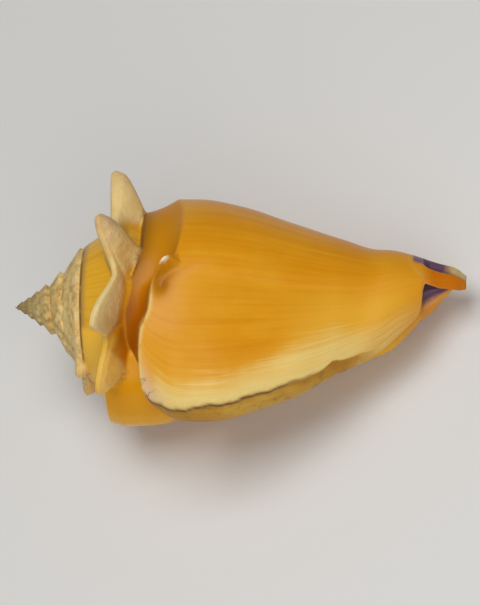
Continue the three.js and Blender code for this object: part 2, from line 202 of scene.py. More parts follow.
# Ribs, threads, cord and sutures of the spire, all of them smaller on smaller whorls
RIBS_PER_TURN = 13
RIB_HEIGHT = 0.42
RIB_FULL_RADIUS = 8
RIB_LENGTH = 1.1
RIB_LENGTH_LEAST = 0.3
RIBS_FADE_TURN = 5.3
RIBS_FADE_LENGTH = 0.6
THREAD_HEIGHT = 0.06
THREADS_PER_MM = 1.5
THREADS_LEAST_SIZE = 0.2
THREADS_END = (6.15, 0.2)
CORD_HEIGHT = 0.22
CORD_START = (5.3, 0.4)
CORD_ACROSS = (1.1, 0.6)
SUTURE_GROOVE = 0.2
SUTURE_GROOVE_WIDTH = 0.25
SUTURE_FULL_RADIUS = 12
SUTURE_LEAST_SIZE = 0.1

# How the shell lies: turned about its own axis, then tipped
REST_ROLL = -37.9
REST_TIP = 16.1

# Rings near the shoulder follow it round the shell: the most they move, and where that fades out
RING_SHIFT_MOST = -4.4
RING_SHIFT_FADE_ANGLE = 165
RING_SHIFT_FADE_WIDTH = 20
RING_SHIFT_SHARE = [(17, 0), (25, 0.75), (30.6, 1), (36, 0.8), (50, 0)]

# How finely the surface is drawn: spacing of the rings along the axis, and the columns of a ring
# as first angle, last angle and count, with angles counted back from the lip's edge
FIRST_RING = 0.12
RING_SPACING = [(0, 0.115), (5, 0.18), (12, 0.19), (15, 0.155), (28, 0.17), (33, 0.36), (39, 0.72),
                (66, 0.74), (72, 0.32), (80, 0.27), (85, 0.3)]
COLUMN_PARTS = [(-360, -150, 104), (-150, -20, 142), (-20, 0, 40)]
RIM_COUNT = 7
INSIDE_COUNT = 32

# In metres: points closer than the first become one, and edges shorter than the second go
MERGE_DISTANCE = 2e-6
EDGE_LEAST = 1e-7

# Columns between these angles stay in place where the lip's edge draws back to the canal
USUAL_EDGE = 205
FIXED_FROM = -85
FIXED_TO = 130

# Where the colours, painted shade and painted light of a whorl lie along the coil, by turn
OLD_WHORLS_END = (7.25, 0.15)
LAST_WHORL = (7.3, 0.15)
SPIRE_END = (6.5, 0.2)
CORD_PAINT = ((5.4, 0.3), (6.2, 0.2))
RAMP_PAINT = ((6.55, 0.1), OLD_WHORLS_END)
RAMP_EDGE_PAINT = ((6.6, 0.1), OLD_WHORLS_END)
HOLLOW_PAINT = ((6.95, 0.04), OLD_WHORLS_END)
FRONT_PAINT = ((7.035, 0.02), OLD_WHORLS_END)
# Painted shade along the sutures
SUTURE_PAINT = ((6.6, 0.1), (8.02, 0.04))
SHADE_PAINT = ((7.6, 0.1), (8.12, 0.05))
# A painted highlight along the lip's back edge, where the shoulder ends
EDGE_HIGHLIGHT_PAINT = ((7.96, 0.03), (8.085, 0.03))
GUTTER_START = (7.7, 0.1)
# The gutter turns darker red where it lies deepest: partly its own red glaze, partly painted shade
DEEP_START = (7.93, 0.08)
LIP_KNOB_START = (7.85, 0.04)
TALL_SPINES_END = (7.03, 0.02)
# Painted light: cream laid on the spine ridges whose faces turn away from the lamps, by turn
PAINTED_LIGHT_SPINE = (6.99, 0.045)
PAINTED_LIGHT_SPINE_BEFORE = (6.8, 0.03)
PAINTED_LIGHT_SHARE_BEFORE = 0.6
# Darker red in the hollow past a spine, partly its own colour and partly painted shade
UNDER_SPINE = (7.05, 0.03)
KNOB_SHADOW = (7.967, 0.018)

# Where they lie across a whorl, in mm past the shoulder
CORD_PAINT_ACROSS = (1.2, 0.7)
FRONT_ACROSS_END = (-0.5, 1.1)
HOLLOW_ACROSS = (1.2, 1.5)
UNDER_SPINE_ACROSS = (0.5, 1.2)
KNOB_SHADOW_ACROSS = (1.9, 2.1)
EDGE_HIGHLIGHT_ACROSS = (-0.05, 0.5)

# Where they lie in mm past the suture, and by the share of the way from it to the shoulder
RAMP_EDGE_ACROSS = (0.5, 0.6)
SUTURE_ACROSS = (0.12, 0.24)
SHADE_ACROSS = (0, 1.7)
GUTTER_SHARE_END = (0.88, 0.16)
DEEP_SHARE_END = (0.88, 0.2)

# Where they lie by the height of a spine: its paint starts at the first height on the tall spines
# and at the second past them
SPINE_PAINT_LOW = (0.6, 2.4)
SPINE_PAINT_RISE = 1.3
SPINE_TIP_HEIGHT = (4.8, 3)
# The painted light on the spine ridges starts at this height of a spine
PAINTED_LIGHT_HEIGHT = (0.6, 1.2)
# The knob's pale tip, partly a painted highlight, starts at this height
KNOB_TIP_HEIGHT = (3.1, 0.7)
FRONT_ON_SPINE = 0.7

# Where colours lie on the whole shell, in mm along the axis
PALE_START = (27, 3)
PALE_WEAKER = (46, 14)
PALE_WEAKER_SHARE = 0.85
GOLDEN_START = (48, 14)
CORNER_ALONG = (27.8, 2.6)
CRAZED_ALONG = (28.4, 1.7)
BAND_ALONG = ((26.5, 1.5), (64, 7))
CRACK_ALONG = ((26.8, 1), (50, 12))
LOBE_ALONG = ((64, 6), (78, 4))
CANAL_PAINT_START = (70, 9)
PRONG_START = (76.5, 3)
CREAM_TIP_START = (80.8, 2)
PURPLE_START = (66, 10)

# Where they lie in degrees before the lip's edge; the pale zone beside the band and the last three
# count from the band's edge
PALE_WIDTH = [(27, 14), (37, 12), (46, 13), (59, 24), (70, 22)]
PALE_FULL_SHARE = 0.15
PALE_FADE_SHARE = 1.45
GOLDEN_BEFORE_LIP = (40, 22)
CORNER_BEFORE_LIP = (7, 8)
CRAZED_BEFORE_LIP = (8, 3.5)
LOBE_BEFORE_LIP = (12, 15)
BAND_EDGE = (0, 1.1)
CRACK_AT_BAND = (0, 0.85)
WORN_AT_BAND = (0, 2.2)

# Where they lie by angle round the axis
PRONG_ANGLE = (100, 20)
FAR_SIDE = ((-40, 20), (88, 14))
FAR_WALL = ((46, 8), (98, 10))

# Where they lie by the share of the way in from the outside, and in mm from the canal's end
OUTSIDE_END = (0, 0.4)
SALMON_START = (0, 0.625)
PURPLE_SHARE_START = (0.45, 0.3)
PURPLE_OVER_RIM = (1.6, 1.4)

# Colours, painted shade and painted light that the callus hides, and those that it hides only in part
OLD_WHORL_COLOURS = "spire cord ramp ramp_edge spine tip front bright hollow under suture".split()
LIP_SIDE_COLOURS = "gutter deep shade knob_white knob_brown edge_light".split()
CALLUS_HIDES = 0.7

# The growth lines follow the lip's edge up to this place, and over this many degrees before it
GROWTH_EDGE_END_X = 73
GROWTH_FOLLOWS = 70

# How the photograph looks at the shell, in the shell's own frame
VIEW_LIFT = 25
VIEW_TURN = 5.5
VIEW_ROLL = -2
PHOTO_WIDTH = 480
PHOTO_HEIGHT = 605
APEX_PIXEL = (15, 307)
PIXELS_PER_MM = 5.29
CAMERA_DISTANCE = 700
SENSOR_WIDTH = 36
NEAREST_SEEN = 0.01

# The lights: name, direction in the camera's right, up and towards, size and power
LIGHTS = [
    ("key", (-0.35, 0.5, 0.95), 0.35, 1.8),
    ("fill", (0.1, -0.35, 0.9), 0.5, 1.05),
]
LIGHT_DISTANCE = 0.55
LIGHT_TARGET = (0, 0, 0.02)
WORLD_LIGHT = 0.15
FLOOR_SIZE = 6


def smooth(t):
    s = np.clip(t, 0, 1)
    return s * s * (3 - 2 * s)


def mix(a, b, t):
    return a + (b - a) * t


def bell(t):
    return np.exp(-t * t)


def past(value, change):
    """From 0 where a change starts to 1 at the end of its length."""
    start, length = change
    return smooth((value - start) / length)


def until(value, change):
    """From 1 where a change starts to 0 at the end of its length."""
    return 1 - past(value, change)


def between(value, changes):
    """1 between two changes, and 0 before the first and past the second."""
    start, end = changes
    return past(value, start) * until(value, end)


def near(value, patch):
    """1 in the middle of a patch, fading out over its width to both sides."""
    middle, width = patch
    return bell((value - middle) / width)


def curve_through(points, x):
    """A smooth line through points that never overshoots them."""
    px = np.array([p[0] for p in points], float)
    py = np.array([p[1] for p in points], float)
    slope = np.diff(py) / np.diff(px)
    tangent = np.zeros(len(px))
    product = slope[:-1] * slope[1:]
    total = slope[:-1] + slope[1:]
    rising = product > 0
    tangent[1:-1][rising] = 2 * product[rising] / total[rising]
    x = np.clip(np.asarray(x, float), px[0], px[-1])
    i = np.clip(np.searchsorted(px, x, side="left") - 1, 0, len(px) - 2)
    width = px[i + 1] - px[i]
    t = (x - px[i]) / width
    from_start = 2 * t**3 - 3 * t**2 + 1
    to_end = 3 * t**2 - 2 * t**3
    leaving = (t**3 - 2 * t**2 + t) * width * tangent[i]
    arriving = (t**3 - t**2) * width * tangent[i + 1]
    return py[i] * from_start + py[i + 1] * to_end + leaving + arriving


def turn_at(angle):
    return TURNS_AT_SIDE + (angle - SIDE_ANGLE) / 360


def lip_edge_at(x):
    return curve_through(LIP_EDGE, x)


def spine_height(turn, from_shoulder, spine):
    """Height of one spine: its front, its peak on a low skirt and its foot towards the canal."""
    at, tall, before, after, foot, _ = spine
    degrees = (turn - at) * 360
    reach = min(1, tall / SPINE_TALL)
    sharpness = LIP_KNOB_SHARPNESS if at > LIP_KNOB_TURN else 1
    width = np.where(degrees < 0, before, after) * sharpness
    peak = bell(degrees / width)
    skirt = reach * bell(degrees / np.minimum(SKIRT_MOST, SKIRT_STRETCH * width))
    across = mix(peak, skirt, SKIRT_SHARE)
    foot_here = foot * mix(FOOT_BETWEEN, 1, peak)
    front = smooth((from_shoulder + SPINE_FRONT * reach) / (SPINE_FRONT_RISE * reach))
    along = front * (1 - smooth((from_shoulder - FOOT_FLAT * foot_here) / foot_here))
    return np.where(np.abs(degrees) < SPINE_REACH, tall * across * along, 0)


def rib_height(turn, from_shoulder):
    """Height of the ribs of the older whorls, which fade out where the spines begin."""
    size = curve_through(SHOULDER_R, turn) / RIB_FULL_RADIUS
    along = bell(from_shoulder / (RIB_LENGTH * size + RIB_LENGTH_LEAST))
    rib = RIB_HEIGHT * size * along * (1 + np.cos(turn * RIBS_PER_TURN * 2 * math.pi))
    return rib * until(turn, (RIBS_FADE_TURN, RIBS_FADE_LENGTH))


def spire_detail(turn, from_shoulder):
    """Fine spiral threads of the spire and the cord that runs along its last suture."""
    size = np.clip(curve_through(SHOULDER_R, turn) / RIB_FULL_RADIUS, THREADS_LEAST_SIZE, 1)
    threads = THREAD_HEIGHT * size * np.sin(from_shoulder / size * THREADS_PER_MM * 2 * math.pi)
    cord = CORD_HEIGHT * size * near(from_shoulder, CORD_ACROSS) * past(turn, CORD_START)
    return (threads + cord) * until(turn, THREADS_END)


def knob_at(turn, x):
    """Height of the spines and ribs of one whorl above its plain surface, and how far they lean."""
    from_shoulder = x - curve_through(SHOULDER_X, turn)
    height = np.zeros_like(x)
    lean = np.zeros_like(x)
    for spine in SPINES:
        tilt = spine[-1]
        knob = spine_height(turn, from_shoulder, spine)
        height += knob
        lean += knob * tilt
    height += rib_height(turn, from_shoulder)
    height += spire_detail(turn, from_shoulder)
    height -= DENT_DEPTH * near(turn, DENT_TURNS) * near(from_shoulder, DENT_ACROSS)
    return height, lean


def whorl_radius(turn, x):
    """Radius of one whorl without spines, and its share of the way from suture to shoulder."""
    start_x = curve_through(SUTURE_X, turn)
    start_r = curve_through(SUTURE_R, turn)
    shoulder_x = curve_through(SHOULDER_X, turn)
    shoulder_r = curve_through(SHOULDER_R, turn)
    before = start_r - LAP_SLOPE * (start_x - x)
    share = np.clip((x - start_x) / (shoulder_x - start_x), 0, None)
    ramp = mix(start_r, shoulder_r, np.clip(share, 0, 1) ** curve_through(RAMP_POWER, turn))
    old = shoulder_r - curve_through(OLD_WHORL_SLOPE, turn) * (x - shoulder_x)
    stretch = (SHELL_LENGTH - OUTLINE_START_X) / (SHELL_LENGTH - shoulder_x)
    last = shoulder_r * curve_through(BODY_OUTLINE, np.clip((x - shoulder_x) * stretch, 0, None))
    along_tip = smooth((x - PILLAR_TIP_START_X) / PILLAR_TIP_LENGTH)
    around_tip = smooth((PILLAR_TIP_TURN - turn) / PILLAR_TIP_FADE)
    thinned = last * (1 - PILLAR_TIP_THINNING * along_tip * around_tip)
    after = np.where(turn < LAST_WHORL_TURN, old, thinned)
    radius = np.where(x < start_x, before, np.where(x < shoulder_x, ramp, after))
    return radius, share


def whorl_paint(turn, share, knob, from_suture, from_shoulder):
    """Where the colours, painted shade and painted light of one whorl show on it, from 0 to 1."""
    older = until(turn, OLD_WHORLS_END)
    lip_knob = past(turn, LIP_KNOB_START)
    low = mix(*SPINE_PAINT_LOW, past(turn, TALL_SPINES_END))
    spine = past(knob, (low, SPINE_PAINT_RISE))
    ahead = np.maximum(until(from_shoulder, FRONT_ACROSS_END), FRONT_ON_SPINE * spine)
    bright = near(turn, PAINTED_LIGHT_SPINE) + PAINTED_LIGHT_SHARE_BEFORE * near(turn, PAINTED_LIGHT_SPINE_BEFORE)
    return {
        "spire": until(turn, SPIRE_END),
        "cord": near(from_shoulder, CORD_PAINT_ACROSS) * between(turn, CORD_PAINT),
        "ramp": between(turn, RAMP_PAINT),
        "ramp_edge": near(from_suture, RAMP_EDGE_ACROSS) * between(turn, RAMP_EDGE_PAINT),
        "spine": spine * older,
        "tip": past(knob, SPINE_TIP_HEIGHT) * older,
        "front": between(turn, FRONT_PAINT) * ahead,
        # Painted light: cream on the spine ridges that face away from the lamps
        "bright": bright * past(knob, PAINTED_LIGHT_HEIGHT) * older,
        "hollow": between(turn, HOLLOW_PAINT) * past(from_shoulder, HOLLOW_ACROSS),
        # Darker red in the hollow past a spine, partly its own colour and partly painted shade
        "under": near(turn, UNDER_SPINE) * past(from_shoulder, UNDER_SPINE_ACROSS) * older,
        # Painted shade along the sutures
        "suture": near(from_suture, SUTURE_ACROSS) * between(turn, SUTURE_PAINT),
        "gutter": past(turn, GUTTER_START) * until(share, GUTTER_SHARE_END),
        # Darker red where the gutter lies deepest, partly its own glaze and partly painted shade
        "deep": past(turn, DEEP_START) * until(share, DEEP_SHARE_END),
        "shade": near(from_suture, SHADE_ACROSS) * between(turn, SHADE_PAINT),
        # Pale tip of the lip's knob, partly a painted highlight
        "knob_white": past(knob, KNOB_TIP_HEIGHT) * lip_knob,
        # Painted shade in the dent below the lip's knob
        "knob_brown": near(turn, KNOB_SHADOW) * near(from_shoulder, KNOB_SHADOW_ACROSS) * lip_knob,
        # Painted highlight along the lip's back edge
        "edge_light": near(from_shoulder, EDGE_HIGHLIGHT_ACROSS) * between(turn, EDGE_HIGHLIGHT_PAINT),
        "last": past(turn, LAST_WHORL),
    }


def joined_whorls(x, angle):
    """The whorls laid softly over one another: radius, lean, turn and what shows there."""
    radius = np.zeros_like(x)
    lean = np.zeros_like(x)
    turn = np.zeros_like(x)
    paint = {}
    for back in range(WHORLS_BACK + 1):
        this_turn = turn_at(angle) - back
        shoulder_r = curve_through(SHOULDER_R, this_turn)
        from_suture = x - curve_through(SUTURE_X, this_turn)
        from_shoulder = x - curve_through(SHOULDER_X, this_turn)
        plain, share = whorl_radius(this_turn, x)
        height, tilt = knob_at(this_turn, x)
        size = np.clip(shoulder_r / SUTURE_FULL_RADIUS, SUTURE_LEAST_SIZE, 1)
        groove = SUTURE_GROOVE * size * bell(from_suture / (SUTURE_GROOVE_WIDTH * (1 + size)))
        total = np.where((this_turn >= 0) & (plain > 0), plain + height - groove, 0)
        wins = total > radius
        soft = np.clip(JOIN_SOFTNESS * shoulder_r, JOIN_SOFTNESS_LEAST, JOIN_SOFTNESS_MOST)
        over = np.clip(0.5 + 0.5 * (total - radius) / soft, 0, 1) * (total > 0)
        radius = mix(radius, total, over) + soft * over * (1 - over)
        lean = mix(lean, tilt, over)
        turn = np.where(wins, this_turn, turn)
        shown = whorl_paint(this_turn, share, height, from_suture, from_shoulder)
        for name, value in shown.items():
            paint[name] = mix(paint.get(name, 0), value, over)
    return radius, lean, turn, paint


def band_width_at(x):
    wander = sum(height * np.sin(x * waves + start) for height, waves, start in BAND_WANDER)
    return curve_through(BAND_WIDTH, x) + wander


def callus_radius(x, angle):
    """Radius of the callus that covers the belly, by the angle past the lip."""
    radius = CALLUS_R * curve_through(CALLUS_BY_ANGLE, angle) * curve_through(CALLUS_BY_X, x)
    return np.where((angle >= CALLUS_FROM) & (angle <= CALLUS_TO), radius, 0)


def outside(x, angle):
    """The outer surface with its lip and callus: radius, lean towards the apex and what shows there."""
    radius, lean, turn, paint = joined_whorls(x, angle)
    last_turn = turn_at(angle)
    edge = lip_edge_at(x)
    flare_share = smooth((angle - FLARE_START_ANGLE) / (edge - FLARE_START_ANGLE))
    wall_share = smooth((x - curve_through(SHOULDER_X, last_turn) + FLARE_RISE) / FLARE_RISE)
    flares = (angle > FLARE_START_ANGLE) & (x > curve_through(SUTURE_X, last_turn))
    radius = radius * np.where(flares, 1 + curve_through(LIP_FLARE, x) * flare_share * wall_share, 1)
    on_band = np.clip(1 - (edge - angle) / band_width_at(x), 0, 1)
    drop = BAND_DROP * on_band**2 + BAND_STEP * smooth(on_band * BAND_STEP_SHARPNESS)
    radius = radius - np.where(flares, drop * (wall_share * until(x, BAND_DROP_END)), 0)
    callus = np.maximum(callus_radius(x, angle), callus_radius(x, angle + 360))
    cover = past(callus - radius, CALLUS_EDGE)
    lean = lean * (1 - smooth((callus - radius) / CALLUS_SMOOTHING))
    radius = np.maximum(radius, callus)
    return {"radius": radius, "lean": lean, "turn": turn, "cover": cover, **paint}


def belly_share(angle):
    """How far the belly surface has turned in to the pillar, 1 on the belly and 0 deep inside."""
    return smooth((angle - INNER_LIP_START) / (INNER_LIP_END - INNER_LIP_START))


def inner_side(x, angle):
    """Radius of the inner side of the aperture; the angle runs on past the lip edge onto the belly."""
    belly = outside(x, angle - 360)["radius"]
    pillar = curve_through(PILLAR_R, x)
    opened = past(x, APERTURE_START)
    return mix(belly, mix(pillar, np.maximum(belly, pillar), belly_share(angle)), opened)


def outer_wall_inside(x, angle):
    """Radius of the inner face of the outer wall, kept one wall away from the outside all round."""
    at_edge = smooth((angle - lip_edge_at(x) + LIP_WALL_ANGLE) / LIP_WALL_ANGLE)
    on_canal = smooth((x - CANAL_START_X) / CANAL_LENGTH)
    thick = mix(mix(INNER_WALL, LIP_WALL, at_edge), CANAL_WALL, on_canal)
    radius = np.full_like(x, np.inf)
    for step in WALL_STEPS:
        reach = math.sqrt(1 - step * step * WALL_ROUNDNESS)
        at = np.minimum(SHELL_LENGTH, x + step * mix(WALL_REACH, CANAL_WALL_REACH, on_canal))
        radius = np.minimum(radius, outside(at, angle)["radius"] - thick * reach)
    return radius


def ring_shift(angle):
    """How far the rings at the shoulder move along the axis at an angle."""
    followed = np.maximum(RING_SHIFT_MOST, curve_through(SHOULDER_X, turn_at(angle)) - OUTLINE_START_X)
    faded = smooth((angle - RING_SHIFT_FADE_ANGLE) / RING_SHIFT_FADE_WIDTH)
    return mix(followed, RING_SHIFT_MOST, faded)


def canal_cut(angle, place):
    """How far the open end of the canal is cut back at an angle, from the place of the ring."""
    turned = (angle - CANAL_CUT_ANGLE + 180) % 360 - 180
    share = smooth((place - CANAL_CUT_START_X) / (SHELL_LENGTH - CANAL_CUT_START_X))
    return CANAL_CUT_DEPTH * share * bell((turned / CANAL_CUT_WIDTH) ** 2)


def point_x(place, angle):
    """Where a ring's point at an angle lies along the axis."""
    return place + ring_shift(angle) * curve_through(RING_SHIFT_SHARE, place) - canal_cut(angle, place)


def ring_places():
    steps = [FIRST_RING]
    while steps[-1] < SHELL_LENGTH:
        steps.append(steps[-1] + float(curve_through(RING_SPACING, steps[-1])))
    steps = np.array(steps)
    return FIRST_RING + (steps - FIRST_RING) * (SHELL_LENGTH - FIRST_RING) / (steps[-1] - FIRST_RING)


def column_angle(edge, offset):
    """Angle of a column that stands at an offset from the usual edge, on a ring with its own edge."""
    first = mix(edge - 360, FIXED_FROM, (offset + 360) / (FIXED_FROM - USUAL_EDGE + 360))
    last = mix(FIXED_TO, edge, 1 + offset / (USUAL_EDGE - FIXED_TO))
    between_fixed = np.where(offset > FIXED_TO - USUAL_EDGE, last, USUAL_EDGE + offset)
    return np.where(offset < FIXED_FROM - USUAL_EDGE, first, between_fixed)


def outside_part(place, edge):
    """The outside of every ring, from the pillar under the belly round to the lip's edge."""
    parts = [np.linspace(first, last, count, endpoint=False) for first, last, count in COLUMN_PARTS]
    angle = column_angle(edge, np.concatenate(parts + [[0]])[None, :])
    x = point_x(place, angle)
    out = outside(x, angle)
    on_belly = angle + 360 < INNER_LIP_END
    turned_in = (1 - belly_share(angle + 360)) * past(x, INSIDE_START)
    part = {name: value for name, value in out.items() if name != "lean"}
    part["x"] = x - out["lean"]
    part["angle"] = angle
    part["radius"] = np.where(on_belly, inner_side(x, angle + 360), out["radius"])
    part["gap"] = edge - angle
    part["to_rim"] = SHELL_LENGTH - place + 0 * angle
    part["inside"] = np.where(on_belly, turned_in, 0)
    return part


def rim_part(at_lip, edge, inner, opened):
    """Round the lip's edge, from its outer corner to the inner one."""
    outer = at_lip["radius"]
    half = (outer - inner) / 2
    round_angle = np.pi * np.arange(1, RIM_COUNT + 1)[None, :] / (RIM_COUNT + 1)
    bulge = np.degrees(RIM_ROUNDNESS * half * np.sin(round_angle)) / np.maximum(outer, 1)
    part = {name: value + 0 * bulge for name, value in at_lip.items()}
    part["angle"] = edge + bulge
    part["radius"] = (outer + inner) / 2 + half * np.cos(round_angle)
    part["gap"] = 0 * bulge
    part["inside"] = 0.5 * round_angle / np.pi * opened
    return part


def inside_part(at_lip, at_start, place, edge, inner, depth, opened):
    """In along the inner face of the wall, and back along the pillar to the start of the ring."""
    path_count = 2 * INSIDE_COUNT + 1
    step = np.arange(path_count)[None, :]
    inward = np.minimum(step, path_count - step) / INSIDE_COUNT
    angle = edge - depth * np.minimum(1, inward)
    x = point_x(place, angle)
    floor = inner_side(x, angle)
    room = np.maximum(ROOM_LEAST, outer_wall_inside(x, angle) - floor)
    rounded_end = 0.5 * np.sqrt(np.clip(1 - inward**ROOM_END_POWER, 0, None)) + ROOM_MARGIN
    on_wall = step <= INSIDE_COUNT
    radius = floor + room * np.where(on_wall, 0.5 + rounded_end, 0.5 - rounded_end)
    straight = (depth <= 0) | (step == 0)
    across = step / path_count
    part = {name: value + 0 * angle for name, value in at_lip.items()}
    part["x"] = np.where(straight, mix(at_lip["x"], at_start["x"], across), x)
    part["angle"] = np.where(straight, edge, angle)
    part["radius"] = np.where(straight, mix(inner, at_start["radius"], across), radius)
    part["gap"] = 0 * angle
    part["inside"] = np.where(on_wall, mix(0.5, 1, smooth(inward / INSIDE_FULL_SHARE)), 1) * opened
    return part


def skin_values():
    """Every ring as columns: outside, over the rim, in along the wall, back along the pillar."""
    place = ring_places()[:, None]
    chip = CHIP_DEPTH * bell((place - CHIP_X) / CHIP_WIDTH)
    edge = lip_edge_at(point_x(place, lip_edge_at(place))) - chip
    outer_part = outside_part(place, edge)
    at_lip = {name: value[:, -1:] for name, value in outer_part.items()}
    at_start = {name: value[:, :1] for name, value in outer_part.items()}
    depth = curve_through(APERTURE_DEPTH, at_lip["x"])
    opened = smooth(depth / INSIDE_FULL_DEPTH)
    wall_face = np.maximum(at_start["radius"], outer_wall_inside(at_lip["x"], edge))
    inner = np.minimum(at_lip["radius"], wall_face)
    parts = [
        outer_part,
        rim_part(at_lip, edge, inner, opened),
        inside_part(at_lip, at_start, place, edge, inner, depth, opened),
    ]
    return {name: np.concatenate([part[name] for part in parts], axis=1) for name in outer_part}


def shell_points(values):
    """From ring values to points in the shell's own frame."""
    x, angle, radius = values["x"], values["angle"], values["radius"]
    radians = np.radians(angle)
    rise = curve_through(CANAL_BEND, x)
    return np.stack([x, radius * np.cos(radians), radius * np.sin(radians) + rise], axis=-1)


def rest_turn():
    roll = Matrix.Rotation(math.radians(REST_ROLL), 4, "X")
    tip = Matrix.Rotation(math.radians(REST_TIP), 4, "Y")
    return tip @ roll


def apex_place():
    """The apex of the frame's solid: the point furthest back along X."""
    corner = min((v.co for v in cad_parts["conch_shell"].data.vertices), key=lambda co: co.x)
    return Vector(corner)


def end_cap(points, first):
    """Close the open end of the canal between its outside and its inside."""
    faces = []
    a, b = 0, len(points) - 1
    while b - a > 1:
        ahead = np.linalg.norm(points[a + 1] - points[b])
        behind = np.linalg.norm(points[a] - points[b - 1])
        if ahead < behind:
            faces.append((first + a + 1, first + b, first + a))
            a += 1
        else:
            faces.append((first + b, first + a, first + b - 1))
            b -= 1
    return faces


def skin_faces(points):
    """Four-sided faces between the rings, a fan round the apex and the closed end of the canal."""
    rings, around, _ = points.shape
    ring = np.arange(rings - 1)[:, None] * around
    column = np.arange(around)[None, :]
    following = (column + 1) % around
    square = [ring + column, ring + following, ring + around + following, ring + around + column]
    quads = np.stack(square, axis=-1).reshape(-1, 4)
    faces = [tuple(int(corner) for corner in quad) for quad in quads]
    apex_index = rings * around
    faces += [(apex_index, (i + 1) % around, i) for i in range(around)]
    faces += end_cap(points[-1], (rings - 1) * around)
    return faces


def colour_layers(values):
    """Where each colour shows, from 0 to 1, the run of the growth lines and the axis."""
    x, gap, cover, angle = values["x"], values["gap"], values["cover"], values["angle"]
    outer = until(values["inside"], OUTSIDE_END)
    last = values["last"] * outer * (1 - cover)
    width = band_width_at(x)
    pale_width = curve_through(PALE_WIDTH, x)
    pale_fade = (PALE_FULL_SHARE * pale_width, PALE_FADE_SHARE * pale_width)
    pale_along = past(x, PALE_START) * mix(1, PALE_WEAKER_SHARE, past(x, PALE_WEAKER))
    along_crack = between(x, CRACK_ALONG)
    over_rim = until(values["to_rim"], PURPLE_OVER_RIM) * between(angle, FAR_WALL) * outer
    purple_inside = past(x, PURPLE_START) * past(values["inside"], PURPLE_SHARE_START)
    edge_turn = (lip_edge_at(np.minimum(x, GROWTH_EDGE_END_X)) - USUAL_EDGE) * bell(gap / GROWTH_FOLLOWS)
    masks = {
        "callus": cover * outer,
        "pale": pale_along * until(gap - width, pale_fade) * last,
        "golden": near(gap, GOLDEN_BEFORE_LIP) * past(x, GOLDEN_START) * last,
        "corner": near(x, CORNER_ALONG) * near(gap, CORNER_BEFORE_LIP) * last,
        "band": past(width - gap, BAND_EDGE) * between(x, BAND_ALONG) * last,
        "crack": near(gap - width, CRACK_AT_BAND) * along_crack * last,
        "worn": near(gap - width, WORN_AT_BAND) * along_crack * last,
        "lobe": between(x, LOBE_ALONG) * near(gap, LOBE_BEFORE_LIP) * last,
        "crazed": near(x, CRAZED_ALONG) * near(gap, CRAZED_BEFORE_LIP) * last,
        "canal": past(x, CANAL_PAINT_START) * outer,
        "prong": past(x, PRONG_START) * past(angle, PRONG_ANGLE) * outer,
        "cream_tip": past(x, CREAM_TIP_START) * between(angle, FAR_SIDE),
        "inside": past(values["inside"], SALMON_START),
        "purple": np.maximum(purple_inside, over_rim),
    }
    for name in OLD_WHORL_COLOURS:
        masks[name] = values[name] * (1 - cover)
    for name in LIP_SIDE_COLOURS:
        masks[name] = values[name] * outer * (1 - CALLUS_HIDES * cover)
    layers = {"mask_" + name: mask for name, mask in masks.items()}
    layers["growth"] = values["turn"] * 360 - edge_turn
    layers["axis_x"] = x
    return layers


def weld(mesh):
    """Merge points that fall together, and turn every face outwards and smooth."""
    work = bmesh.new()
    work.from_mesh(mesh)
    bmesh.ops.remove_doubles(work, verts=work.verts, dist=MERGE_DISTANCE)
    bmesh.ops.dissolve_degenerate(work, edges=work.edges, dist=EDGE_LEAST)
    bmesh.ops.recalc_face_normals(work, faces=work.faces)
    for face in work.faces:
        face.smooth = True
    work.to_mesh(mesh)
    work.free()


def shell_mesh():
    values = skin_values()
    points = shell_points(values)
    apex = np.array(apex_place())
    turned = points.reshape(-1, 3) @ np.array(rest_turn().to_3x3()).T
    vertices = np.vstack([turned * MM + apex, apex[None, :]])
    mesh = bpy.data.meshes.new("conch_shell_skin")
    mesh.from_pydata(vertices.tolist(), [], skin_faces(points))
    for name, shown in colour_layers(values).items():
        layer = mesh.attributes.new(name, "FLOAT", "POINT")
        layer.data.foreach_set("value", np.append(shown, shown[0, 0]).astype(np.float32))
    weld(mesh)
    return mesh


